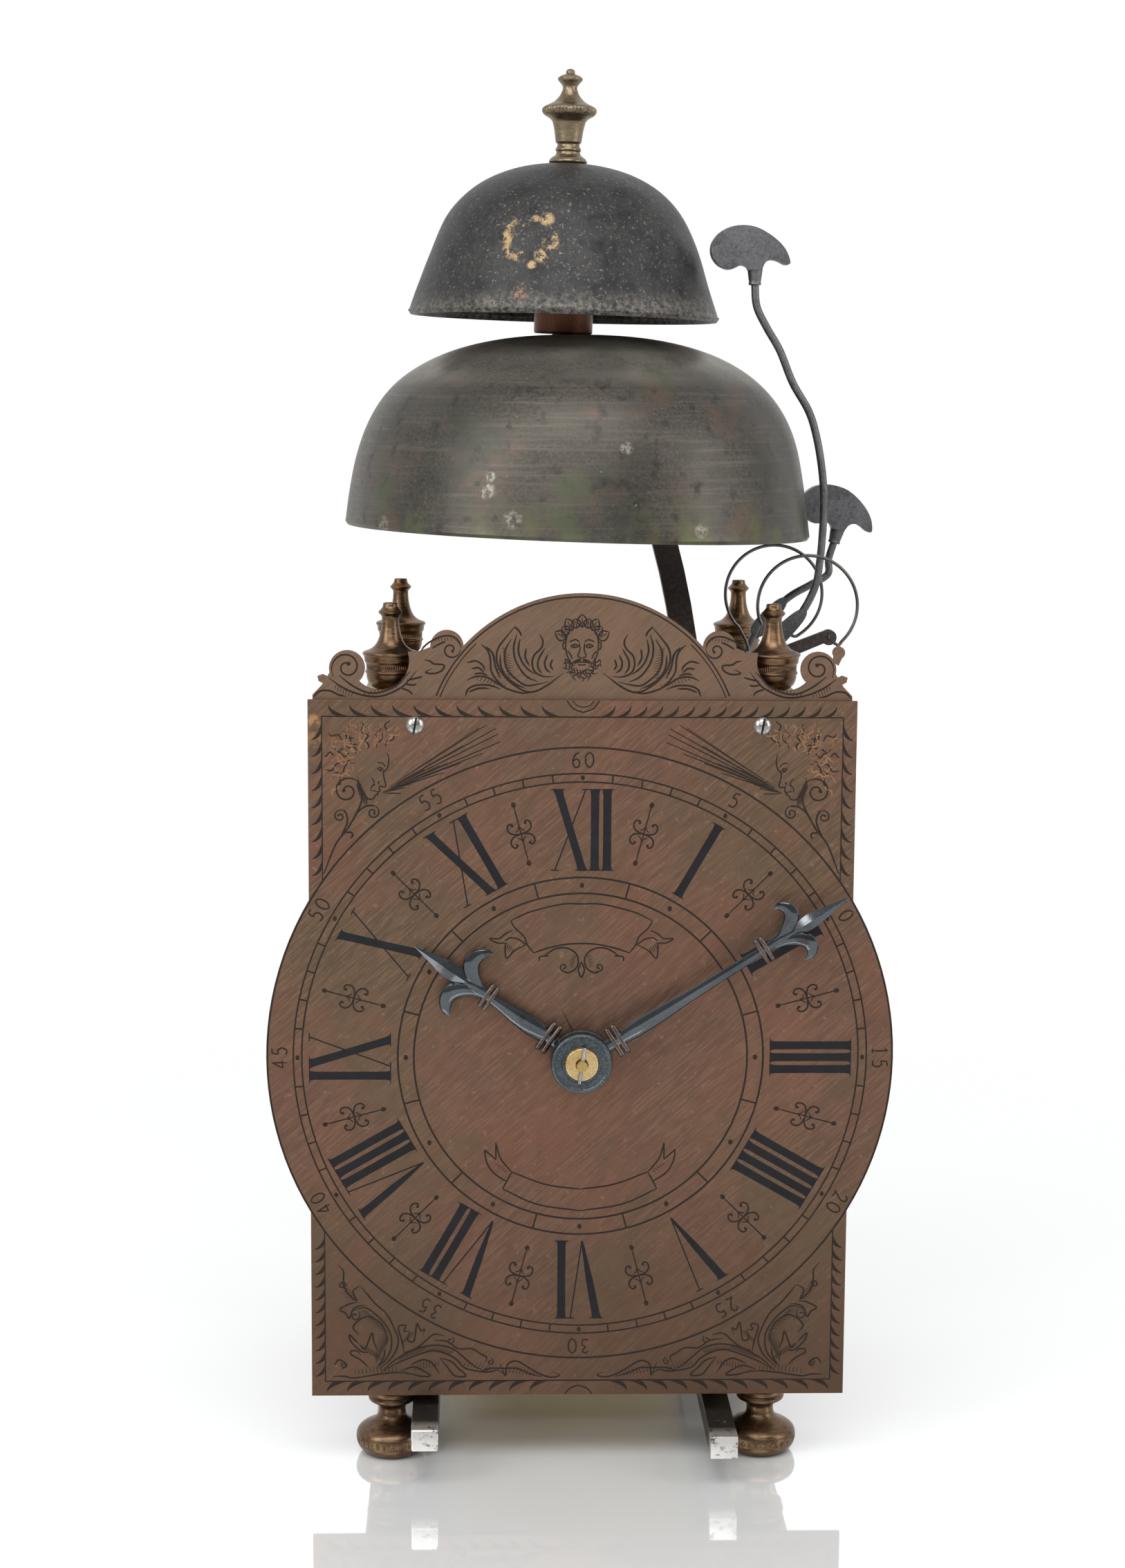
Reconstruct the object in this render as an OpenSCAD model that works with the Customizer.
// A small two-handed lantern clock with two stacked bells, all sizes in millimetres.
// Origin: centre of the four feet on the floor. +Z up, the dial faces -Y.

/* [Case] */
// Distance between the left and right pillars, centre to centre
pillar_dx = 100; // [84:1:124]
// Height of the case, from the underside of the bottom plate to the top of the top plate
case_h = 187.3; // [182:0.1:230]
// Thickness of the top and bottom plates
plate_t = 3; // [2:0.5:5]
// How far the plates run past the pillars
plate_edge = 7; // [6.6:0.1:12]
// Largest radius of the pillars' caps and bases
pillar_cap_r = 6.3; // [5:0.1:6.5]
// Radius of the pillars' shafts
pillar_shaft_r = 4; // [3:0.1:5]
// Radius of the screwed studs that join feet, plates, pillars and finials
stud_r = 2.4; // [1.5:0.1:3]

/* [Feet and corner finials] */
// Height of a foot
foot_h = 19.6; // [16:0.1:26]
// Largest radius of a foot's bun
foot_r = 9.45; // [8:0.05:11]
// Height of a corner finial
finial_h = 23.7; // [18:0.1:32]
// Largest radius of a corner finial
finial_r = 6.4; // [5:0.1:7]

/* [Dial and fronton] */
// Width of the dial plate
dial_w = 142; // [126:1:170]
// Radius of the round part of the dial plate
dial_r = 82.4; // [76:0.1:96]
// Thickness of the dial plate
dial_t = 1.6; // [1:0.1:3]
// From the front pillars' axis to the front of the dial plate
dial_reach = 11.5; // [11.5:0.1:16]
// How far the dial's top edge stays below the top of the case
dial_drop = 0.6; // [0:0.1:2]
// Height of the hands' axis above the underside of the case
hand_up = 92.4; // [90:0.1:110]
// Thickness of the fronton behind the dial's top edge
fronton_t = 1.4; // [1:0.1:2]
// Height of the fronton's arch above the dial's top edge
fronton_h = 27.5; // [22:0.1:34]
// Radius of the fronton's arch
fronton_arch_r = 41.8; // [36:0.1:50]
// Radius of the two dial screws' heads
screw_head_r = 2.35; // [2:0.05:3]

/* [Carrying bars] */
// Width of the two square iron bars under the case
bar_w = 7.1; // [5:0.1:9]
// Height of the bars
bar_h = 6; // [4:0.1:6]
// How far the bars stand out in front of the dial
bar_front = 16.9; // [5:0.1:30]
// How far the bars stand out behind the bottom plate
bar_rear = 21.4; // [0:0.1:30]
// Distance of the left bar from its pillars, towards the middle
bar_left_in = 9.3; // [9.3:0.1:20]
// Distance of the right bar from its pillars, towards the middle
bar_right_in = 12.2; // [9.3:0.1:20]
// Height of the left bar's underside
bar_left_z = 10.5; // [8:0.1:12]
// Height of the right bar's underside
bar_right_z = 8.2; // [8:0.1:12]

/* [Bells] */
// Radius of the lower bell's rim
lower_bell_r = 64; // [56:0.5:78]
// Height of the lower bell, rim to crown
lower_bell_h = 53.5; // [46:0.5:64]
// Clear height between the top plate and the lower bell's rim
lower_bell_up = 40.3; // [38:0.1:60]
// Slant of the lower bell's rim, in degrees
rim_slant = 1.65; // [0:0.05:3]
// Radius of the upper bell's rim
upper_bell_r = 42.6; // [36:0.1:52]
// Height of the upper bell
upper_bell_h = 41.5; // [36:0.5:50]
// Gap between the lower bell's crown and the upper bell's rim
bell_gap = 4.3; // [2:0.1:12]
// Wall of both bells
bell_wall = 2.8; // [2:0.1:4]
// Lean of the bell post with the upper bell, in degrees
post_lean = 1.3; // [0:0.1:3]
// Radius of the bell post
post_r = 3; // [2:0.1:4]
// Radius of the copper tube between the bells
spacer_r = 8; // [6:0.1:12]
// Height of the finial on the bells
bell_finial_h = 25.1; // [18:0.1:34]

/* [Hammers and springs] */
// Distance of the hammer arbors below the top of the case
hammer_drop = 18.9; // [16:0.1:24]
// Radius of the hammers' iron shanks
shank_r = 1.3; // [0.9:0.1:2]
// Thickness of the flat hammer heads
head_t = 5; // [3:0.1:6]
// Gap from the upper hammer's head to the upper bell at rest
upper_gap = 3.6; // [3.4:0.1:8]
// Gap from the lower hammer's head to the lower bell at rest
lower_gap = 1.4; // [1.2:0.1:5]
// Radius of the loop springs' wire
wire_r = 0.5; // [0.4:0.05:0.8]
// Radius of the loop springs, to the middle of the wire
loop_r = 13.6; // [10:0.1:15]

/* [Trains] */
// Thickness of the three movement bars
movement_bar_t = 3; // [2.5:0.1:4]
// Width of the movement bars
movement_bar_w = 14; // [10:0.5:18]
// Depth of the motion work's room, from the dial to the front bar
motion_depth = 18.4; // [18:0.1:24]
// Depth of the going train's room
going_depth = 37; // [36:0.5:44]
// Depth of the striking train's room
strike_depth = 35; // [34:0.5:42]
// Radius of the arbors
arbor_r = 1.6; // [1.3:0.1:2]
// Thickness of the great wheels
great_t = 2; // [1.5:0.1:3]
// Thickness of the other wheels
wheel_t = 1.5; // [1:0.1:2]
// Radius of the rope pulleys
pulley_r = 10; // [8:0.5:12]
// Length of the pendulum, from the verge to the middle of the bob
pendulum_l = 100; // [80:1:110]

/* [Hands] */
// Length of the minute hand from its axis
minute_l = 82.4; // [70:0.1:84]
// Length of the hour hand from its axis
hour_l = 53.1; // [46:0.1:60]
// Direction of the minute hand, in degrees clockwise from the top
minute_at = 57.6; // [0:0.1:360]
// Direction of the hour hand
hour_at = 304.8; // [0:0.1:360]
// Thickness of the hands
hand_t = 1.6; // [1:0.1:2]
// Radius of the hands' round bosses
boss_r = 8; // [7:0.1:9]

/* [Clearances] */
// Radial clearance of pivots and pipes that turn
run = 0.06; // [0.03:0.01:0.1]
// Radial clearance of parts that are fixed in holes
fit = 0.05; // [0.02:0.01:0.1]
// Gap beside parts that turn
side = 0.3; // [0.2:0.05:0.5]

/* [Hidden] */
$fn = 48;

// Heights
base_z = foot_h;
top_z = foot_h + case_h;
floor_z = base_z + plate_t;
ceiling_z = top_z - plate_t;
dial_top_z = top_z - dial_drop;
hand_z = base_z + hand_up;

// Depths, from the dial back to the rear pillars
pillar_dy = dial_t + motion_depth + 3 * movement_bar_t + going_depth + strike_depth + 6.5 - dial_reach;
pillar_x = pillar_dx / 2;
pillar_y = pillar_dy / 2;
dial_front = -pillar_y - dial_reach;
dial_back = dial_front + dial_t;
plate_front = dial_back + fronton_t;
plate_back = pillar_y + plate_edge;
plate_x = pillar_x + plate_edge;
front_bar_y = dial_back + motion_depth;
going_y = front_bar_y + movement_bar_t;
centre_bar_y = going_y + going_depth;
strike_y = centre_bar_y + movement_bar_t;
rear_bar_y = strike_y + strike_depth;
back_y = rear_bar_y + movement_bar_t;

// Dial screws, as they sit in the plate
screw_x = [-43.4 / 50 * pillar_x, 46.5 / 50 * pillar_x];
screw_z = dial_top_z - 6.6;
screw_r = 1.4;
lug_w = 6.6;
lug_t = 1.7;
lug_h = 8.4;

// Bars under the case
bar_x = [-pillar_x + bar_left_in, pillar_x - bar_right_in];
bar_z = [bar_left_z, bar_right_z];
bar_stud_y = [-30, 30];
bar_stud_r = 2;

// Bells. The post leans about the point where it meets the lower bell's crown
bell_y = -2.5;
lower_bell_x = 0.2;
lower_rim_z = top_z + lower_bell_up;
lower_crown_z = lower_rim_z + lower_bell_h;
post_x = -4.1;
upper_rim_up = bell_gap;
upper_crown_up = bell_gap + upper_bell_h;
post_below = 12;
post_above = 6;
steps = 18;

// Outer radius of a bell at height h above its rim
function bell_at(r, h_all, flare, p, q, h) = (r - flare * h) * pow(1 - pow(h / h_all, p), 1 / q);
function lower_at(h) = bell_at(lower_bell_r, lower_bell_h, 0.12, 3.8, 2.4, max(h, 0));
function upper_at(h) = bell_at(upper_bell_r, upper_bell_h, 0.33, 5.6, 2.1, max(h, 0));

// Hammers: both arbors lie on one line along Y
hammer_x = pillar_x - 4;
hammer_z = top_z - hammer_drop;
upper_hammer_y = -14.5;
lower_hammer_y = 10.5;
cock_t = 2.5;
cock_y = [-26, -2, 22];
pivot_r = 0.9;
upper_strike_up = 18;
lower_strike_up = 8;
upper_strike_z = lower_crown_z + bell_gap + upper_strike_up;
lower_strike_z = lower_rim_z + lower_strike_up;
upper_head_x = post_x + upper_at(upper_strike_up) + upper_gap - 1;
lower_head_x = lower_bell_x + lower_at(lower_strike_up) + lower_gap - 1;
bell_side_x = lower_bell_x + lower_bell_r;

// Loop springs: wire loops in planes across Y, open at the bottom
front_loop = [pillar_x + 12.4, -19.5, top_z + 21.1];
rear_loop = [pillar_x + 5.8, 5, top_z + 22.6];
front_hook = [front_loop[0] + 5.6, front_loop[2] - 8.4];
front_tip = [front_loop[0] - 13.9, front_loop[2] - 9];
rear_seat = [rear_loop[0] - 7, top_z + 1.5];
rear_tip = [rear_loop[0] + 5, rear_loop[2] - 11.6];
front_arc = [-52, 203];
rear_arc = [-62, 226];
lever_y = front_loop[1] - 0.8;
lever_t = 2.4;

// Trains: [teeth], modules and centres
great_teeth = 50;
great_mod = 1.1;
second_leaves = 10;
second_teeth = 45;
second_mod = 1;
third_leaves = 9;
great_z = hand_z - great_mod * (great_teeth + second_leaves) / 2;
third_z = hand_z + second_mod * (second_teeth + third_leaves) / 2;
contrate_teeth = 30;
contrate_r = 18;
contrate_face = 3;
crown_leaves = 6;
crown_pinion_r = contrate_r * crown_leaves / contrate_teeth;
crown_teeth = 15;
crown_r = 13;
crown_h = 6.5;
warn_teeth = 36;
warn_mod = 0.9;
fly_leaves = 6;
fly_z = third_z + warn_mod * (warn_teeth + fly_leaves) / 2;
count_teeth = 48;
count_leaves = 8;
count_mod = 0.95;
count_z = great_z - count_mod * (count_teeth + count_leaves) / 2;
count_r = 25.4;
cannon_leaves = 12;
motion_teeth = 36;
motion_leaves = 9;
hour_teeth = 36;
cannon_mod = 0.75;
motion_z = hand_z + cannon_mod * (cannon_leaves + motion_teeth) / 2;
hour_mod = 2 * (motion_z - hand_z) / (motion_leaves + hour_teeth);

// Planes of the wheels
great_y = going_y + 8.5;
pulley_y = great_y + great_t + 1.5;
pulley_w = 9;
second_y = going_y + 26.5;
contrate_y = going_y + 6.5;
crown_y = contrate_y + wheel_t + contrate_face / 2 + crown_pinion_r;
strike_great_y = strike_y + 6.5;
strike_pulley_y = strike_great_y + great_t + 1.5;
hoop_y = strike_y + 25.5;
warn_y = strike_y + 16.5;
train_pivot_r = 0.9;
// Pivots end inside their bars; two that meet in the centre bar keep a small gap
pivot_in = 0.5;
pivot_apart = 0.1;
going_pivot_start = going_y - movement_bar_t + pivot_in;
going_pivot_end = centre_bar_y + movement_bar_t / 2 - pivot_apart;
strike_pivot_start = centre_bar_y + movement_bar_t / 2 + pivot_apart;
strike_pivot_end = rear_bar_y + movement_bar_t - pivot_in;
crown_pinion_z = third_z + contrate_r;
potence_z = crown_pinion_z - 11;
crown_arbor_r = 1.2;
verge_z = top_z + 12.1;
verge_r = 1.2;
pendulum_y = plate_back + 5;

// Hands, from the dial forwards
hour_hand_y = dial_front - 1.9;
minute_hand_y = hour_hand_y - hand_t - 1.4;
boss_t = 2.4;
washer_y = minute_hand_y - boss_t - 0.1;
washer_t = 0.9;
pin_y = washer_y - washer_t - 0.7;
centre_r = 1.4;
cannon_r = 2.3;
hour_pipe_r = 3.6;

// ---- Helpers ----

// A flat shape (x across, y up) made solid from depth y0 to y1
module along_y(y0, y1) {
    translate([0, y1, 0]) rotate([90, 0, 0]) linear_extrude(y1 - y0) children();
}

// A round rod along Y
module rod_y(x, z, r, y0, y1) {
    translate([x, y0, z]) rotate([-90, 0, 0]) cylinder(r = r, h = y1 - y0);
}

// A bent round rod through points in the X-Z plane, with a slightly fuller ball at each bend
joint_extra = 0.04;

module bent_rod(points, r) {
    for (i = [0:len(points) - 2]) {
        a = points[i];
        b = points[i + 1];
        l = norm(b - a);
        translate([a[0], 0, a[1]]) rotate([0, atan2(b[0] - a[0], b[1] - a[1]), 0]) cylinder(r = r, h = l);
        translate([b[0], 0, b[1]]) sphere(r = r + joint_extra);
    }
}

// Outline of a toothed wheel with a tooth at the top
function tooth_points(n, r, add, ded, w) = [
    for (i = [0:n - 1])
        for (p = [[-0.62, -ded], [-0.5, 0], [-0.2, add], [0.2, add], [0.5, 0], [0.62, -ded]])
            let (a = 90 - 360 * (i + w * p[0]) / n) [(r + p[1]) * cos(a), (r + p[1]) * sin(a)]
];

module wheel_2d(n, mod, w = 0.42) {
    polygon(tooth_points(n, n * mod / 2, 0.85 * mod, 1.15 * mod, w));
}

// Leaves of a pinion; the gap between two leaves is at the bottom
module pinion_2d(n, mod, w = 0.36) {
    rotate(n % 2 == 0 ? 180 / n : 0) polygon(tooth_points(n, n * mod / 2, 0.6 * mod, 1.3 * mod, w));
}

// The openings between a wheel's four arms
module crossings_2d(r_rim, r_hub, arm) {
    difference() {
        circle(r = r_rim);
        circle(r = r_hub);
        square([2 * r_rim + 2, arm], center = true);
        square([arm, 2 * r_rim + 2], center = true);
    }
}

// A crossed wheel at height z, from depth y0 to y0 + t
module crossed_wheel(n, mod, z, y0, t, hub, arm) {
    r = n * mod / 2;
    translate([0, 0, z]) along_y(y0, y0 + t) difference() {
        wheel_2d(n, mod);
        crossings_2d(r - 3.2 * mod, hub, arm);
    }
}

module pinion(n, mod, z, y0, y1, w = 0.36) {
    translate([0, 0, z]) along_y(y0, y1) pinion_2d(n, mod, w);
}

module pivot_hole(z, y0, r = train_pivot_r + run) {
    rod_y(0, z, r, y0 - 1, y0 + movement_bar_t + 1);
}

// ---- Case ----

foot_profile = [
    [0, 0], [0.66, 0], [0.91, 1.2], [1, 3.2], [1, 5], [0.91, 7], [0.68, 8.3], [0.5, 9.4], [0.41, 11],
    [0.4, 13], [0.45, 14.1], [0.45, 15.4], [0.57, 16.4], [0.66, 18], [0.66, 19.6], [0, 19.6]
];

module foot(x, y) {
    color("#80624a") translate([x, y, 0]) {
        rotate_extrude() polygon([for (p = foot_profile) [p[0] * foot_r, p[1] * foot_h / 19.6]]);
        translate([0, 0, foot_h - 0.5]) cylinder(r = stud_r, h = plate_t + 6.5);
    }
}

finial_profile = [
    [0, 0], [0.53, 0], [0.56, 1.8], [0.69, 3.5], [0.72, 5.2], [0.82, 5.6], [0.88, 6.6], [1, 8.4],
    [0.98, 10.2], [0.95, 10.8], [0.74, 11.7], [0.55, 12.8], [0.43, 14.6], [0.36, 17.2], [0.36, 19],
    [0.4, 19.6], [0.49, 20.6], [0.48, 21.2], [0.36, 21.9], [0.33, 23.2], [0.26, 23.7], [0, 23.7]
];

module corner_finial(x, y) {
    color("#8a6a4a") translate([x, y, top_z]) {
        rotate_extrude() polygon([for (p = finial_profile) [p[0] * finial_r, p[1] * finial_h / 23.7]]);
        translate([0, 0, -plate_t - 6]) cylinder(r = stud_r, h = plate_t + 6.5);
    }
}

module pillar(x, y) {
    h = ceiling_z - floor_z;
    cap = pillar_cap_r;
    shaft = pillar_shaft_r;
    half = [
        [cap, 0], [cap, 3], [cap - 0.8, 4], [cap - 0.8, 5.2], [cap - 0.2, 6], [cap - 0.2, 7.4],
        [shaft + 0.6, 8.6], [shaft, 10]
    ];
    color("#a58a55") translate([x, y, floor_z]) difference() {
        rotate_extrude() polygon(concat(
            [[0, 0]], half, [[shaft + 0.5, h / 2]],
            [for (i = [len(half) - 1:-1:0]) [half[i][0], h - half[i][1]]], [[0, h]]
        ));
        translate([0, 0, -1]) cylinder(r = stud_r + fit, h = 8.5);
        translate([0, 0, h - 7.5]) cylinder(r = stud_r + fit, h = 8.5);
    }
}

module case_plate(z, y_front) {
    difference() {
        translate([-plate_x, y_front, z]) cube([2 * plate_x, plate_back - y_front, plate_t]);
        for (x = [-pillar_x, pillar_x], y = [-pillar_y, pillar_y])
            translate([x, y, z - 1]) cylinder(r = stud_r + fit, h = plate_t + 2);
    }
}

module bottom_plate() {
    color("#a08450") difference() {
        case_plate(base_z, dial_back);
        for (x = bar_x, y = bar_stud_y)
            translate([x, y, base_z - 1]) cylinder(r = bar_stud_r + fit, h = plate_t + 2);
    }
}

hammer_slot_w = 13;
hammer_slot_d = 5;

module top_plate() {
    color("#a08450") difference() {
        case_plate(ceiling_z, plate_front);
        for (y = [upper_hammer_y, lower_hammer_y])
            translate([hammer_x - 4, y - hammer_slot_d / 2, ceiling_z - 1])
                cube([hammer_slot_w - 0.5, hammer_slot_d, plate_t + 2]);
        translate([0, crown_y, ceiling_z - 1]) cylinder(r = crown_arbor_r + run, h = plate_t + 2);
    }
}

module dial_plate() {
    color("#6d5848") difference() {
        along_y(dial_front, dial_back) union() {
            translate([-dial_w / 2, base_z]) square([dial_w, dial_top_z - base_z]);
            translate([0, hand_z]) circle(r = dial_r);
        }
        rod_y(0, hand_z, hour_pipe_r + side, dial_front - 1, dial_back + 1);
        for (x = screw_x) rod_y(x, screw_z, screw_r + fit, dial_front - 1, dial_back + 1);
    }
}

// Fronton: arch, side lobes, crescents and volutes, drawn above the dial's top edge
lobe_at = [35.2, 13.6];
lobe_r = 4.3;
crescent_at = [52.5, 10];
crescent_r = 7.6;
volute_at = [60.9, 8];
volute_r = 4.6;

module fronton_side_2d() {
    difference() {
        polygon([
            [0, -2], [dial_w / 2 - 1.2, -2], [dial_w / 2 - 1.2, 1.1], [dial_w / 2 - 3.5, 3.5],
            [volute_at[0] + 4.4, 7], [volute_at[0], 8], [crescent_at[0], 10.2], [45.2, 12.2],
            [42.3, 12.4], [39, 13.6], [35, 14.5], [30, 12], [0, 12]
        ]);
        translate(crescent_at) circle(r = crescent_r);
    }
    translate(lobe_at) circle(r = lobe_r);
    translate(volute_at) circle(r = volute_r);
    polygon([[65.2, 3], [68.2, 4.7], [68.5, 5.9], [67.2, 6.4], [64.6, 5.2]]);
}

module fronton() {
    tab = 11;
    color("#715848") difference() {
        translate([0, 0, dial_top_z]) along_y(dial_back, plate_front) {
            intersection() {
                translate([0, fronton_h - fronton_arch_r]) circle(r = fronton_arch_r, $fn = 96);
                translate([-fronton_arch_r, -2]) square([2 * fronton_arch_r, fronton_h + 4]);
            }
            for (m = [0, 1]) mirror([m, 0]) fronton_side_2d();
            translate([66.1, 12.4]) circle(r = 1.6);
            polygon([[64.6, 10], [66, 9], [67.4, 12], [65, 12.6]]);
            translate([-pillar_x - 5, -tab]) square([2 * pillar_x + 10, tab]);
        }
        for (x = screw_x) rod_y(x, screw_z, screw_r + fit, dial_back - 1, plate_front + 1);
    }
}

module dial_screws() {
    dome_r = 3;
    color("#b9b8b4") for (x = screw_x) difference() {
        union() {
            intersection() {
                rod_y(x, screw_z, screw_head_r, dial_front - 1.3, dial_front);
                translate([x, dial_front - 1.2 + dome_r, screw_z]) sphere(r = dome_r);
            }
            rod_y(x, screw_z, screw_r, dial_front - 0.5, plate_front + lug_t);
        }
        translate([x, dial_front - 1.2, screw_z]) rotate([0, 10, 0])
            cube([0.6, 1, 6], center = true);
    }
}

module dial_lugs() {
    color("#a08450") {
        for (x = screw_x) difference() {
            translate([x - lug_w / 2, plate_front, ceiling_z - lug_h]) cube([lug_w, lug_t, lug_h]);
            rod_y(x, screw_z, screw_r + fit, plate_front - 1, plate_front + lug_t + 1);
        }
        for (s = [-1, 1])
            translate([s * (pillar_x - 16) - lug_w / 2, dial_back, floor_z]) cube([lug_w, lug_t, lug_h]);
    }
}

// ---- Carrying bars ----

module base_bar(i) {
    y0 = dial_front - bar_front;
    color("#3a3836") difference() {
        translate([bar_x[i] - bar_w / 2, y0, bar_z[i]])
            cube([bar_w, plate_back + bar_rear - y0, bar_h]);
        for (y = bar_stud_y)
            translate([bar_x[i], y, bar_z[i] + 2]) cylinder(r = bar_stud_r + fit, h = bar_h);
    }
}

module bar_studs() {
    color("#4a4744") for (i = [0, 1], y = bar_stud_y) translate([bar_x[i], y, 0]) {
        translate([0, 0, bar_z[i] + bar_h]) cylinder(r = bar_w / 2, h = base_z - bar_z[i] - bar_h);
        translate([0, 0, bar_z[i] + 2.5]) cylinder(r = bar_stud_r, h = floor_z - bar_z[i] - 1.5);
    }
}

// ---- Bells ----

module leaning() {
    translate([post_x, bell_y, lower_crown_z]) rotate([0, post_lean, 0]) children();
}

module lower_bell() {
    low = 2.4;
    hs = [for (i = [0:steps]) lower_bell_h * sin(90 * i / steps)];
    inner_h = lower_bell_h - bell_wall;
    hi = [for (i = [steps:-1:0]) inner_h * sin(90 * i / steps)];
    color("#4c4842") difference() {
        translate([lower_bell_x, bell_y, lower_rim_z]) difference() {
            rotate_extrude($fn = 96) polygon(concat(
                [[lower_bell_r, -low]],
                [for (h = hs) [lower_at(h), h]],
                [for (h = hi) [max(0, (lower_bell_r - bell_wall - 0.12 * h)
                    * pow(1 - pow(h / inner_h, 3.8), 1 / 2.4)), h]],
                [[lower_bell_r - bell_wall, -low]]
            ));
            rotate([0, rim_slant, 0]) translate([-100, -100, -20]) cube([200, 200, 20]);
        }
        leaning() translate([0, 0, -20]) cylinder(r = post_r + 0.4, h = 40);
    }
}

module upper_bell() {
    hs = [for (i = [0:steps]) upper_bell_h * sin(90 * i / steps)];
    inner_h = upper_bell_h - bell_wall;
    hi = [for (i = [steps:-1:0]) inner_h * sin(90 * i / steps)];
    color("#55504b") leaning() translate([0, 0, upper_rim_up]) difference() {
        rotate_extrude($fn = 96) polygon(concat(
            [for (h = hs) [upper_at(h), h]],
            [for (h = hi) [max(0, (upper_bell_r - bell_wall - 0.33 * h)
                * pow(1 - pow(h / inner_h, 5.6), 1 / 2.1)), h]]
        ));
        cylinder(r = post_r + fit, h = upper_bell_h + 5);
    }
}

// The tube's upper end meets the inside of the upper bell's crown at its own radius
module spacer_tube() {
    lift = spacer_r * tan(post_lean) + 0.05;
    inner_h = upper_bell_h - bell_wall;
    crown_share = spacer_r / (upper_bell_r - bell_wall - 0.33 * inner_h);
    seat = upper_rim_up + inner_h * pow(1 - pow(crown_share, 2.1), 1 / 5.6) - 0.3;
    color("#37251f") leaning() translate([0, 0, lift]) difference() {
        cylinder(r = spacer_r, h = seat - lift);
        translate([0, 0, -1]) cylinder(r = post_r + fit, h = seat + 2);
    }
}

module bell_post() {
    color("#4a4440") leaning() {
        translate([0, 0, -post_below]) cylinder(r = post_r, h = post_below + upper_crown_up);
        translate([0, 0, upper_crown_up - 1]) cylinder(r = post_r - 1, h = post_above + 1);
    }
}

bell_finial_profile = [
    [0, 0], [5.2, 0], [5.3, 0.8], [4, 1.6], [3.2, 3], [3.3, 4.2], [2.9, 4.8], [3.2, 5.6], [4, 7.5],
    [4.1, 9.6], [3.6, 10.6], [4.2, 11.4], [6.4, 12.4], [7.5, 13.4], [7.5, 14.4], [6.2, 15.4],
    [3.4, 16.6], [2.2, 18.4], [2, 20.2], [2.6, 21.2], [3.5, 21.9], [3.5, 22.5], [2.2, 23.2],
    [1.2, 23.7], [1.2, 24.5], [0.6, 25.1], [0, 25.1]
];

module bell_finial() {
    color("#8a7b6f") leaning() translate([0, 0, upper_crown_up]) difference() {
        rotate_extrude() polygon([for (p = bell_finial_profile) [p[0], p[1] * bell_finial_h / 25.1]]);
        translate([0, 0, -1]) cylinder(r = post_r - 1 + fit, h = post_above + 1.5);
    }
}

// Iron arm: rises from the top plate on a curve and ends in a boss under the lower bell's crown
arm_w = 6.8;
arm_d = 5.4;
arm_foot = [31.5, 0];
arm_bend = [24, 63];
arm_boss_r = 6.5;
arm_boss_h = 6;
arm_end = [post_x, lower_crown_z - top_z - bell_wall - 0.6 - arm_boss_h / 2];
function arm_at(t) = (1 - t) * (1 - t) * arm_foot + 2 * t * (1 - t) * arm_bend + t * t * arm_end;
function arm_dir(t) = 2 * (1 - t) * (arm_bend - arm_foot) + 2 * t * (arm_end - arm_bend);
function arm_side(t, s) = arm_at(t) + s * arm_w / 2 * [arm_dir(t)[1], -arm_dir(t)[0]] / norm(arm_dir(t));

module bell_arm() {
    n = 12;
    color("#38322f") difference() {
        union() {
            translate([0, 0, top_z]) along_y(bell_y - arm_d / 2, bell_y + arm_d / 2) polygon(concat(
                [for (i = [0:n]) arm_side(i / n, 1)], [for (i = [n:-1:0]) arm_side(i / n, -1)]
            ));
            translate([arm_foot[0] - 9, bell_y - 5, top_z]) cube([18, 10, 2.6]);
            for (s = [-1, 1]) translate([arm_foot[0] + s * 6.5, bell_y, top_z + 2.5]) cylinder(r = 1.6, h = 1);
            leaning() translate([0, 0, -bell_wall - 0.7 - arm_boss_h]) cylinder(r = arm_boss_r, h = arm_boss_h);
        }
        leaning() translate([0, 0, -20]) cylinder(r = post_r + fit, h = 30);
        translate([arm_foot[0] - 20, bell_y - 20, top_z - 10]) cube([40, 40, 10]);
    }
}

// ---- Hammers and springs ----

// Flat head, left end at the bell; x and z are measured from its left end's middle
module hammer_head_2d() {
    polygon([
        [0, 0], [0.6, 2.6], [2.4, 4.8], [5, 6.2], [8.2, 6.7], [11.6, 6.3], [14.8, 4.9], [17.8, 2.8],
        [20, 0.4], [21.3, -2.2], [21.2, -3.6], [19.8, -3.7], [18, -2.6], [16.2, -2.3], [14.6, -3.1],
        [13.9, -4.9], [10.3, -5.3], [9.6, -4.2], [8, -3.9], [6.4, -4.9], [4.4, -5.1], [2, -4],
        [0.6, -2.2]
    ]);
}

neck_dx = 12.1;
neck_dz = -5.1;

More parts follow.
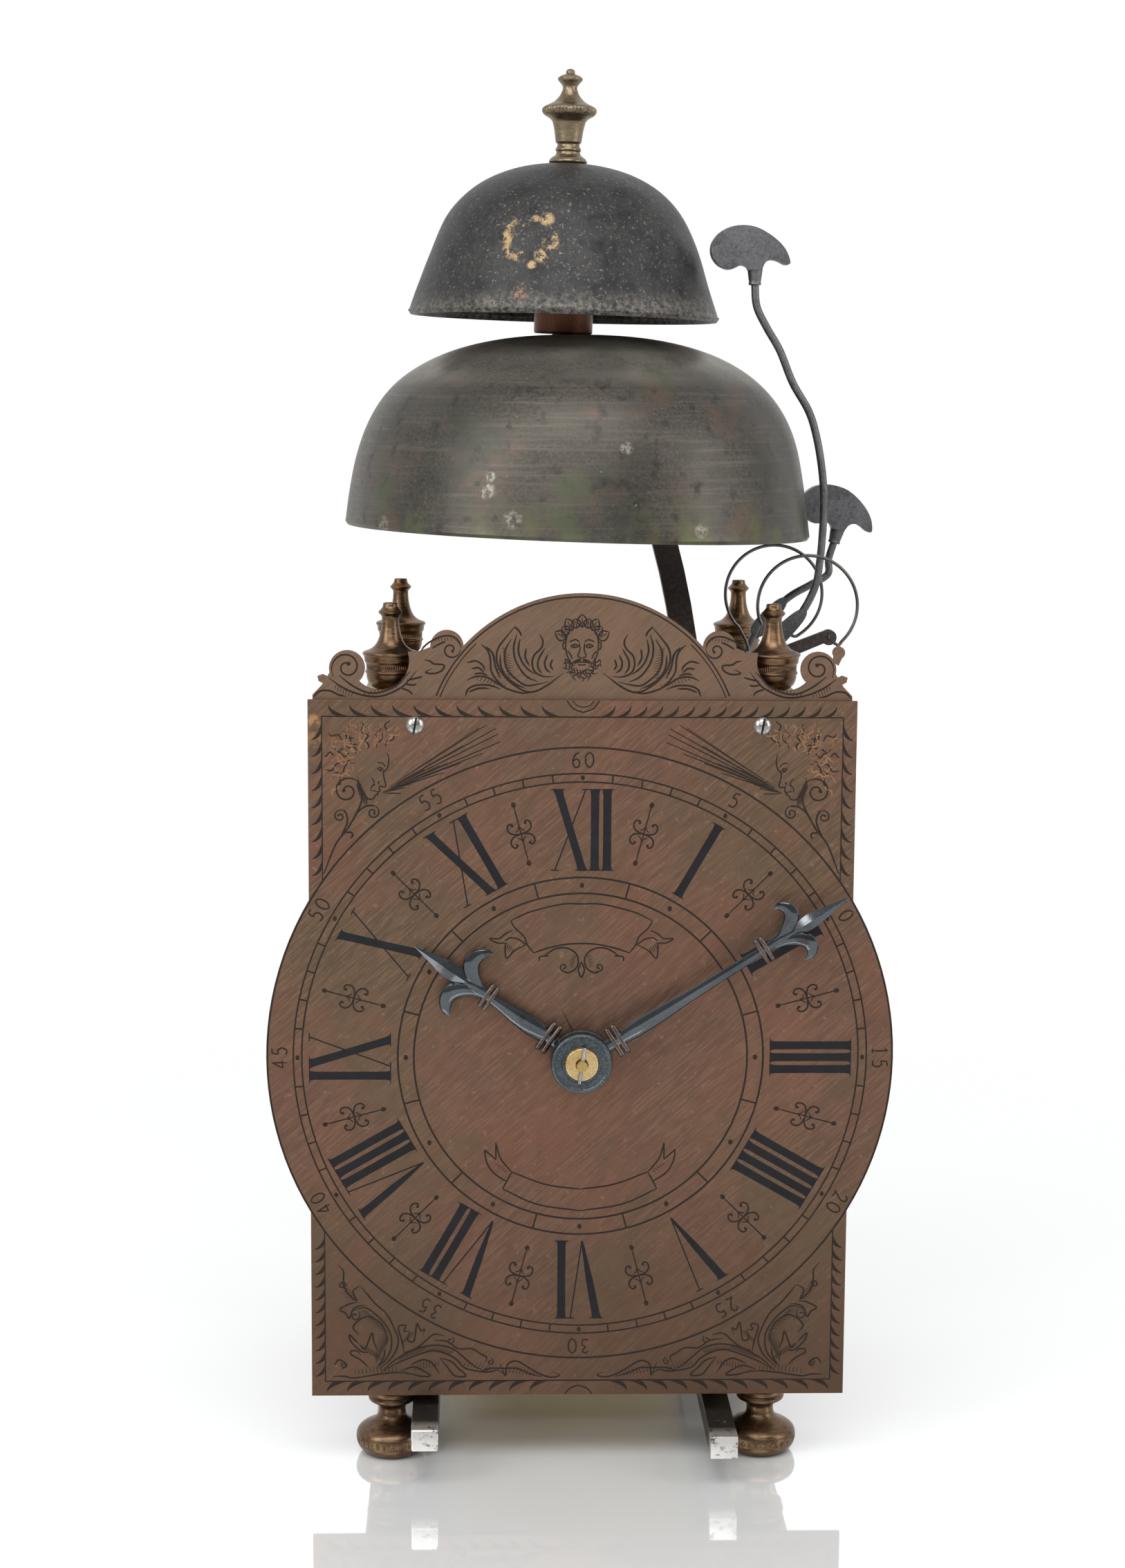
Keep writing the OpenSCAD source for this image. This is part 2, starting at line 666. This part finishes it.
// A hammer: arbor, bent shank with a flat blade, ferrule, head and tail
module hammer(y, arbor_y0, arbor_y1, points, head_at, turn, tail) {
    neck = points[len(points) - 1];
    color("#5c5a5c") {
        translate([0, y, 0]) bent_rod(points, shank_r);
        translate([head_at[0], y, head_at[1]]) rotate([0, turn, 0]) {
            along_y(-head_t / 2, head_t / 2) hammer_head_2d();
            translate([neck_dx, 0, neck_dz - 3.6]) cylinder(r1 = 1.6, r2 = 2.1, h = 4);
        }
        along_y(y - 1, y + 1) {
            a = points[3];
            b = points[4];
            d = (b - a) / norm(b - a);
            n = [-d[1], d[0]];
            polygon([a - 2 * d, a + 2.3 * n, b + 1.7 * n, b + 3 * d, b - 1.7 * n, a - 2.3 * n]);
        }
        rod_y(hammer_x, hammer_z, 1.8, arbor_y0 + side, arbor_y1 - side);
        rod_y(hammer_x, hammer_z, pivot_r, arbor_y0 - 1, arbor_y1 + 1);
        along_y(y - 1, y + 1) translate([hammer_x, hammer_z])
            polygon([[-1.5, 1], [1.5, 0], [tail[0] + 1.2, tail[1]], [tail[0] - 1.2, tail[1]]]);
    }
}

// The heads, given by their left ends, and the points where their shanks enter the ferrules
upper_head = [upper_head_x, upper_strike_z];
lower_turn = 14;
lower_head = [lower_head_x, lower_strike_z];
function neck_point(head, turn) = head + [
    neck_dx * cos(turn) + (neck_dz - 3) * sin(turn), (neck_dz - 3) * cos(turn) - neck_dx * sin(turn)
];

upper_points = concat(
    [[hammer_x, hammer_z], [hammer_x + 0.5, hammer_z + 12], [hammer_x + 2.5, top_z + 3],
     [hammer_x + 7.5, top_z + 10.5], [hammer_x + 14.5, top_z + 17.5]],
    [for (p = [[0.6, 25.4], [1.9, 32.6], [2.6, 42], [2.7, 50], [2, 57.9], [0.4, 66.5], [-1.9, 73.5]])
        [bell_side_x + p[0], top_z + p[1]]],
    [for (p = [[10.7, -26.9], [7.1, -18.4], [3.4, -12.2], [0.6, -6.5]])
        neck_point(upper_head, 0) + p],
    [neck_point(upper_head, 0)]
);

lower_points = concat(
    [[hammer_x, hammer_z], [hammer_x + 0.5, hammer_z + 12], [hammer_x + 2.2, top_z + 3],
     [hammer_x + 6, top_z + 12], [hammer_x + 12, top_z + 18.8]],
    [[bell_side_x - 2.4, top_z + 22], [bell_side_x + 2.6, top_z + 24.8],
     [bell_side_x + 7.4, top_z + 27.8]],
    [neck_point(lower_head, lower_turn) + [-1.6, -5.4], neck_point(lower_head, lower_turn)]
);

module upper_hammer() {
    hammer(upper_hammer_y, cock_y[0] + cock_t / 2, cock_y[1] - cock_t / 2, upper_points, upper_head, 0,
        [-9, -16]);
}

module lower_hammer() {
    hammer(lower_hammer_y, cock_y[1] + cock_t / 2, cock_y[2] - cock_t / 2, lower_points, lower_head,
        lower_turn, [-9, -16]);
}

module hammer_cocks() {
    color("#a08450") for (y = cock_y) difference() {
        translate([hammer_x - 4, y - cock_t / 2, hammer_z - 4.5])
            cube([8, cock_t, ceiling_z - hammer_z + 4.5]);
        rod_y(hammer_x, hammer_z, pivot_r + run, y - cock_t, y + cock_t);
    }
}

// A point on a wire loop
function on_loop(at, a) = [at[0] + loop_r * cos(a), at[2] + loop_r * sin(a)];

// A straight piece of wire from a to b, both given as [x, z]
module wire(a, b, y) {
    translate([a[0], y, a[1]]) rotate([0, atan2(b[0] - a[0], b[1] - a[1]), 0])
        cylinder(r = wire_r, h = norm(b - a), $fn = 24);
}

module wire_bend(a, y) {
    translate([a[0], y, a[1]]) sphere(r = wire_r + 0.05, $fn = 24);
}

// A loop of spring wire, open at the bottom, with its two ends bent away from the round
module loop_spring(at, arc, first, last) {
    a = on_loop(at, arc[0]);
    b = on_loop(at, arc[1]);
    ends_apart = min(norm(a - b), norm(first - last)) - 2 * wire_r;
    echo(str("loop spring: gap between its two ends ", ends_apart, " mm"));
    translate(at) rotate([90, 0, 0]) rotate([0, 0, arc[0]])
        rotate_extrude(angle = arc[1] - arc[0], $fn = 48) translate([loop_r, 0]) circle(r = wire_r, $fn = 24);
    wire(a, first, at[1]);
    wire(b, last, at[1]);
    wire_bend(a, at[1]);
    wire_bend(b, at[1]);
}

module front_loop_spring() {
    color("#5a5654") {
        loop_spring(front_loop, front_arc, front_hook, front_tip);
        wire_bend(front_hook, front_loop[1]);
        rod_y(front_hook[0], front_hook[1], wire_r, lever_y - lever_t - 0.4, front_loop[1], $fn = 24);
    }
}

module rear_loop_spring() {
    color("#4a4644") {
        loop_spring(rear_loop, rear_arc, rear_tip, rear_seat + [0, 6]);
        wire_bend(rear_seat + [0, 6], rear_loop[1]);
        wire(rear_seat, rear_seat + [0, 6], rear_loop[1]);
    }
}

// Dark lever on the top plate that the front wire hooks into, and a small block for the rear wire
module spring_bracket() {
    eye_r = 2.1;
    root = [pillar_x + 1.5, top_z];
    color("#2c2a2a") {
        difference() {
            union() {
                along_y(lever_y - lever_t, lever_y) {
                    polygon([
                        root + [-1, 5.4], root + [4, 6.4], front_hook + [-1.4, -1.6],
                        front_hook + [-0.8, 1.9], root + [3.4, 9.8], root + [-1, 8.6]
                    ]);
                    translate(front_hook) circle(r = eye_r);
                }
                translate([root[0] - 1, lever_y - lever_t - 1, top_z]) cube([5, lever_t + 1, 9]);
            }
            rod_y(front_hook[0], front_hook[1], wire_r + fit, lever_y - lever_t - 1, lever_y + 1, $fn = 24);
        }
        difference() {
            translate([rear_seat[0] - 2.4, rear_loop[1] - 2, top_z]) cube([4.8, 4, 3.4]);
            translate([rear_seat[0], rear_loop[1], rear_seat[1] - 0.3])
                cylinder(r = wire_r + fit, h = 4, $fn = 24);
        }
    }
}

// ---- Movement ----

module movement_bar(y) {
    translate([-movement_bar_w / 2, y, floor_z]) cube([movement_bar_w, movement_bar_t, ceiling_z - floor_z]);
}

module front_bar() {
    color("#ad8f52") difference() {
        union() {
            movement_bar(front_bar_y);
            rod_y(0, motion_z, 1.5, front_bar_y - 10.5, front_bar_y + 0.5);
        }
        pivot_hole(great_z, front_bar_y);
        pivot_hole(third_z, front_bar_y);
        pivot_hole(hand_z, front_bar_y, centre_r + run);
    }
}

module centre_bar() {
    color("#ad8f52") difference() {
        movement_bar(centre_bar_y);
        for (z = [great_z, hand_z, third_z, fly_z]) pivot_hole(z, centre_bar_y);
    }
}

module rear_bar() {
    color("#ad8f52") difference() {
        union() {
            movement_bar(rear_bar_y);
            rod_y(0, count_z, 2, back_y - 0.5, back_y + 6.5);
        }
        for (z = [hand_z, third_z, fly_z]) pivot_hole(z, rear_bar_y);
        pivot_hole(great_z, rear_bar_y, arbor_r + 0.4 + run);
    }
}

great_arbor_r = arbor_r + 0.4;

// Great wheel with its arbor; the rope pulley turns on the same arbor
module great_wheel(y, y0, y1) {
    crossed_wheel(great_teeth, great_mod, great_z, y, great_t, 7, 4);
    rod_y(0, great_z, 4.5, y - 2, y + great_t + 1);
    rod_y(0, great_z, great_arbor_r, y0 + side, y1 - side);
}

module going_great_wheel() {
    color("#b0924e") {
        great_wheel(great_y, going_y, centre_bar_y);
        rod_y(0, great_z, train_pivot_r, going_pivot_start, going_pivot_end);
    }
}

// Pulley with a grooved rim and iron spikes that hold the rope
module spiked_pulley(y) {
    r = pulley_r;
    w = pulley_w;
    translate([0, y, great_z]) rotate([-90, 0, 0]) difference() {
        union() {
            rotate_extrude() polygon([
                [0, 0], [r + 1.5, 0], [r + 1.5, 1.2], [r - 2, 3], [r - 2, w - 3], [r + 1.5, w - 1.2],
                [r + 1.5, w], [0, w]
            ]);
            for (i = [0:11]) rotate([0, 0, 30 * i]) translate([r - 4, 0, w / 2]) rotate([0, 90, 0])
                cylinder(r1 = 0.8, r2 = 0.3, h = 5, $fn = 24);
        }
        translate([0, 0, -1]) cylinder(r = great_arbor_r + run, h = w + 2);
    }
}

module going_pulley() {
    color("#a0854a") spiked_pulley(pulley_y);
}

// Centre wheel: its arbor runs out through the dial and carries the hands on the cannon pipe
module centre_wheel() {
    color("#b0924e") {
        crossed_wheel(second_teeth, second_mod, hand_z, second_y, wheel_t, 5, 3);
        pinion(second_leaves, great_mod, hand_z, great_y - 1.5, great_y + great_t + 1.5);
        rod_y(0, hand_z, arbor_r, going_y + side, centre_bar_y - side);
        rod_y(0, hand_z, train_pivot_r, centre_bar_y - 1, going_pivot_end);
    }
    color("#8c8f93") difference() {
        rod_y(0, hand_z, centre_r, pin_y - 1.5, going_y + 1);
        translate([0, pin_y, hand_z]) rotate([0, 8, 0]) cylinder(r = 0.55, h = 10, center = true, $fn = 24);
    }
}

module contrate_wheel() {
    color("#b0924e") {
        translate([0, 0, third_z]) {
            along_y(contrate_y, contrate_y + wheel_t) difference() {
                circle(r = contrate_r + 1.5);
                crossings_2d(contrate_r - 2.4, 4.5, 3);
            }
            for (i = [0:contrate_teeth - 1]) rotate([0, 360 * i / contrate_teeth, 0])
                translate([0, contrate_y + wheel_t - 0.2, contrate_r - 1.4]) linear_extrude(2.8)
                    polygon([[-0.8, 0], [0.8, 0], [0.45, contrate_face + 0.2], [-0.45, contrate_face + 0.2]]);
        }
        pinion(third_leaves, second_mod, third_z, second_y - 1.5, second_y + wheel_t + 1.5);
        rod_y(0, third_z, arbor_r, going_y + side, centre_bar_y - side);
        rod_y(0, third_z, train_pivot_r, going_pivot_start, going_pivot_end);
    }
}

// Crown wheel: upright arbor with a pinion driven by the contrate wheel, saw teeth upwards
module crown_wheel() {
    wheel_z = top_z + 1.5;
    gap = 3.4;
    tooth_gap = [[-2.1, -1], [2.1, -1], [2.1, 0], [0.9, gap], [-0.2, gap], [-2.1, 0]];
    arbor_z = potence_z + 4 + side;
    color("#b0924e") translate([0, crown_y, 0]) {
        difference() {
            translate([0, 0, wheel_z]) cylinder(r = crown_r, h = crown_h);
            translate([0, 0, wheel_z + 1.6]) cylinder(r = crown_r - 1.3, h = crown_h);
            for (i = [0:crown_teeth - 1]) rotate([0, 0, 360 * (i + 0.5) / crown_teeth])
                translate([0, -crown_r - 1, wheel_z + crown_h]) rotate([-90, 0, 0])
                    linear_extrude(3) polygon(tooth_gap);
        }
        translate([0, 0, arbor_z]) cylinder(r = crown_arbor_r, h = wheel_z + 1 - arbor_z);
        translate([0, 0, potence_z + 0.5]) cylinder(r = train_pivot_r, h = 5);
        translate([0, 0, crown_pinion_z - 3]) rotate([0, 0, 180])
            linear_extrude(6) pinion_2d(crown_leaves, 2 * crown_pinion_r / crown_leaves, 0.32);
    }
}

// Cock on the centre bar that carries the crown wheel's lower pivot
module crown_potence() {
    w = 7;
    color("#a08450") difference() {
        union() {
            translate([-w / 2, crown_y - 3, potence_z]) cube([w, centre_bar_y - crown_y + 3, 4]);
            translate([-w / 2, centre_bar_y - 2, potence_z]) cube([w, 2, 11]);
        }
        translate([0, crown_y, potence_z - 1]) cylinder(r = train_pivot_r + run, h = 6);
    }
}

// Two upright cocks on the top plate that carry the verge
verge_cock_t = 3;
verge_cock_y = [crown_y - crown_r - 6, plate_back - verge_cock_t - 1];

module verge_cocks() {
    w = 9;
    color("#a08450") for (y = verge_cock_y) difference() {
        union() {
            translate([-w / 2, y, top_z]) cube([w, verge_cock_t, verge_z - top_z]);
            rod_y(0, verge_z, w / 2, y, y + verge_cock_t);
        }
        rod_y(0, verge_z, verge_r - 0.2 + run, y - 1, y + verge_cock_t + 1);
    }
}

// Verge: arbor across the crown wheel with two pallets at right angles
module verge() {
    y0 = verge_cock_y[0];
    y1 = verge_cock_y[1];
    reach = verge_z - (top_z + 1.5 + crown_h) - 0.4;
    color("#77787c") {
        rod_y(0, verge_z, verge_r, y0 + verge_cock_t + side, y1 - side);
        rod_y(0, verge_z, verge_r - 0.2, y0 + 0.5, pendulum_y + 2);
        for (s = [-1, 1]) translate([0, crown_y + s * (crown_r - 1), verge_z]) rotate([0, s * 45, 0])
            translate([-0.5, -2, -reach]) cube([1, 4, reach]);
    }
}

module pendulum_rod() {
    color("#77787c") difference() {
        union() {
            translate([0, pendulum_y, verge_z - pendulum_l - 12]) cylinder(r = 0.9, h = pendulum_l + 10);
            rod_y(0, verge_z, 2.6, pendulum_y - 1.6, pendulum_y + 1.6);
        }
        rod_y(0, verge_z, verge_r - 0.2 + fit, pendulum_y - 3, pendulum_y + 3);
    }
}

module pendulum_bob() {
    color("#a8894a") translate([0, pendulum_y, verge_z - pendulum_l]) difference() {
        rotate_extrude() polygon([
            [0, -9], [2.4, -9], [5.6, -6.6], [7.4, -3.4], [7.6, -0.6], [6.6, 2.6], [4.2, 6.4], [2.4, 9.6],
            [2.4, 11], [0, 11]
        ]);
        translate([0, 0, -15]) cylinder(r = 0.9 + fit, h = 30);
    }
}

module strike_great_wheel() {
    color("#b0924e") {
        great_wheel(strike_great_y, strike_y, rear_bar_y + side);
        rod_y(0, great_z, train_pivot_r, strike_pivot_start, strike_y + 1);
        rod_y(0, great_z, great_arbor_r, rear_bar_y - 1, back_y + 3.6);
        translate([0, 0, great_z]) along_y(back_y + 1, back_y + 3.6)
            rotate(180) pinion_2d(count_leaves, count_mod);
        for (i = [0:7]) translate([0, 0, great_z]) rotate([0, 45 * i + 22.5, 0])
            rod_y(0, great_mod * great_teeth / 2 - 2.4, 0.9, strike_great_y - 3.5, strike_great_y + 0.5);
    }
}

module strike_pulley() {
    color("#a0854a") spiked_pulley(strike_pulley_y);
}

// Hoop wheel: the raised hoop has one gap that locks the striking
module hoop_wheel() {
    color("#b0924e") {
        crossed_wheel(second_teeth, second_mod, hand_z, hoop_y, wheel_t, 5, 3);
        pinion(second_leaves, great_mod, hand_z, strike_great_y - 1.5, strike_great_y + great_t + 1.5);
        translate([0, 0, hand_z]) along_y(hoop_y + wheel_t - 0.2, hoop_y + wheel_t + 2.6) difference() {
            circle(r = 19);
            circle(r = 17.8);
            translate([-3, -20]) square([6, 8]);
        }
        rod_y(0, hand_z, arbor_r, strike_y + side, rear_bar_y - side);
        rod_y(0, hand_z, train_pivot_r, strike_pivot_start, strike_pivot_end);
    }
}

module warning_wheel() {
    color("#b0924e") {
        crossed_wheel(warn_teeth, warn_mod, third_z, warn_y, wheel_t, 4, 2.4);
        pinion(third_leaves, second_mod, third_z, hoop_y - 1.5, hoop_y + wheel_t + 1);
        rod_y(0, third_z + 13.2, 0.5, warn_y - 2.5, warn_y + 0.5);
        rod_y(0, third_z, arbor_r, strike_y + side, rear_bar_y - side);
        rod_y(0, third_z, train_pivot_r, strike_pivot_start, strike_pivot_end);
    }
}

module fly() {
    color("#8f8157") {
        pinion(fly_leaves, warn_mod, fly_z, warn_y - 1.5, warn_y + wheel_t + 1.5, 0.3);
        rod_y(0, fly_z, 1.1, strike_y + side, rear_bar_y - side);
        rod_y(0, fly_z, train_pivot_r, strike_pivot_start, strike_pivot_end);
        rod_y(0, fly_z, 1.8, hoop_y - 3, hoop_y + 6);
        translate([-14, hoop_y - 2.5, fly_z - 0.4]) cube([28, 8, 0.8]);
    }
}

// Count wheel behind the rear bar, with one notch after each hour's blows
count_blows = [1, 2, 3, 4, 5, 6, 7, 8, 9, 10, 11, 12];
function blows_before(i) = i == 0 ? 0 : count_blows[i - 1] + blows_before(i - 1);

module count_wheel() {
    y0 = back_y + 1.6;
    color("#b0924e") translate([0, 0, count_z]) difference() {
        union() {
            along_y(y0, y0 + 1.5) wheel_2d(count_teeth, count_mod);
            along_y(y0 + 2.2, y0 + 3.4) circle(r = count_r, $fn = 96);
            rod_y(0, 0, 8, y0, y0 + 3.4);
        }
        along_y(y0 + 2, y0 + 4) for (i = [0:11]) rotate(360 * blows_before(i) / 78)
            translate([count_r - 2.2, -0.8]) square([4, 1.6]);
        for (i = [0:3]) rotate([0, 90 * i + 45, 0]) rod_y(0, 14.5, 5, y0 - 1, y0 + 5);
        rod_y(0, 0, 2 + run, y0 - 1, y0 + 5);
    }
}

// ---- Motion work and hands ----

module cannon_pinion() {
    color("#8c8f93") difference() {
        union() {
            pinion(cannon_leaves, cannon_mod, hand_z, front_bar_y - 4.5, front_bar_y - 1.2);
            rod_y(0, hand_z, cannon_r, minute_hand_y - boss_t + 0.4, front_bar_y - side);
        }
        rod_y(0, hand_z, centre_r + run, minute_hand_y - boss_t - 1, front_bar_y + 1);
    }
}

module motion_wheel() {
    y0 = front_bar_y - 4;
    color("#b0924e") difference() {
        translate([0, 0, motion_z]) {
            along_y(y0, y0 + wheel_t) rotate(180) wheel_2d(motion_teeth, cannon_mod);
            along_y(y0 - 5.5, y0 + 0.5) rotate(180) pinion_2d(motion_leaves, hour_mod);
        }
        rod_y(0, motion_z, 1.5 + run, y0 - 7, y0 + 4);
    }
}

module hour_wheel() {
    y0 = front_bar_y - 8.5;
    color("#b0924e") difference() {
        union() {
            translate([0, 0, hand_z]) along_y(y0, y0 + wheel_t) rotate(180 / hour_teeth)
                wheel_2d(hour_teeth, hour_mod);
            rod_y(0, hand_z, hour_pipe_r, hour_hand_y - hand_t, y0 + 1);
        }
        rod_y(0, hand_z, cannon_r + run, hour_hand_y - hand_t - 1, y0 + 3);
    }
}

// One side of a hand, from the boss outwards: u along the hand, v across it
function hand_blade(collar, junction, widest, tip, half) = [
    [7, 2.2], [10.2, 1.8], [10.4, 4.5], [11.6, 4.5], [11.8, 1.5], [17.5, half], [collar - 1, 1.1],
    [collar - 0.6, 3.6], [collar + 0.6, 3.6], [collar + 0.8, 1], [junction, 1], [widest, 1.8], [tip, 0]
];
function petal(collar, wide) = [
    for (p = [[3.6, 0.5], [7.8, 0.6], [11.3, 1.2], [12.8, 2.4], [12.9, 4.4], [11.9, 6.9], [9.8, 8.2],
        [7.1, 7.7], [9.1, 6.6], [10.1, 5.2], [9.9, 3.8], [8.3, 2.6], [5.3, 2.3]])
        [collar + p[0], wide * p[1]]
];

module hand_2d(collar, junction, widest, tip, half, wide) {
    side_points = hand_blade(collar, junction, widest, tip, half);
    n = len(side_points);
    polygon(concat(
        side_points, [for (i = [n - 2:-1:0]) [side_points[i][0], -side_points[i][1]]]
    ));
    for (m = [0, 1]) mirror([0, m]) polygon(petal(collar, wide));
}

module minute_hand() {
    y1 = minute_hand_y;
    color("#5a646e") difference() {
        union() {
            translate([0, 0, hand_z]) along_y(y1 - hand_t, y1) rotate(90 - minute_at)
                hand_2d(55.7, 64.9, 73, minute_l, 2.3, 1);
            translate([0, y1, hand_z]) rotate([90, 0, 0]) {
                cylinder(r = boss_r, h = boss_t - 1.4);
                translate([0, 0, boss_t - 1.4]) cylinder(r1 = boss_r, r2 = boss_r - 2, h = 1.4);
            }
        }
        rod_y(0, hand_z, cannon_r + fit, y1 - boss_t - 1, y1 + 1);
    }
}

module hour_hand() {
    y1 = hour_hand_y;
    color("#5a646e") difference() {
        union() {
            translate([0, 0, hand_z]) along_y(y1 - hand_t, y1) rotate(90 - hour_at)
                hand_2d(29.3, 38.3, 44, hour_l, 2.3, 1.2);
            rod_y(0, hand_z, boss_r, y1 - hand_t, y1);
        }
        rod_y(0, hand_z, hour_pipe_r + fit, y1 - hand_t - 1, y1 + 1);
    }
}

module hand_washer() {
    color("#c2a24c") difference() {
        translate([0, washer_y, hand_z]) rotate([90, 0, 0]) cylinder(r1 = 4.65, r2 = 4.2, h = washer_t);
        rod_y(0, hand_z, centre_r + 0.2, washer_y - 3, washer_y + 1);
    }
}

module hand_pin() {
    color("#b9b8b4") translate([0, pin_y, hand_z]) rotate([0, 8, 0])
        cylinder(r = 0.5, h = 9.7, center = true, $fn = 24);
}

// ---- Nodes ----

foot(-pillar_x, -pillar_y);  // foot_front_left
foot(pillar_x, -pillar_y);  // foot_front_right
foot(-pillar_x, pillar_y);  // foot_rear_left
foot(pillar_x, pillar_y);  // foot_rear_right
corner_finial(-pillar_x, -pillar_y);  // finial_front_left
corner_finial(pillar_x, -pillar_y);  // finial_front_right
corner_finial(-pillar_x, pillar_y);  // finial_rear_left
corner_finial(pillar_x, pillar_y);  // finial_rear_right
pillar(-pillar_x, -pillar_y);  // pillar_front_left
pillar(pillar_x, -pillar_y);  // pillar_front_right
pillar(-pillar_x, pillar_y);  // pillar_rear_left
pillar(pillar_x, pillar_y);  // pillar_rear_right
bottom_plate();
top_plate();
dial_plate();
fronton();
dial_screws();
dial_lugs();
base_bar(0);  // base_bar_left
base_bar(1);  // base_bar_right
bar_studs();
bell_arm();
bell_post();
spacer_tube();
lower_bell();
upper_bell();
bell_finial();
upper_hammer();
lower_hammer();
hammer_cocks();
front_loop_spring();
rear_loop_spring();
spring_bracket();
front_bar();
centre_bar();
rear_bar();
going_great_wheel();
going_pulley();
centre_wheel();
contrate_wheel();
crown_wheel();
crown_potence();
verge_cocks();
verge();
pendulum_rod();
pendulum_bob();
strike_great_wheel();
strike_pulley();
hoop_wheel();
warning_wheel();
fly();
count_wheel();
cannon_pinion();
motion_wheel();
hour_wheel();
minute_hand();
hour_hand();
hand_washer();
hand_pin();
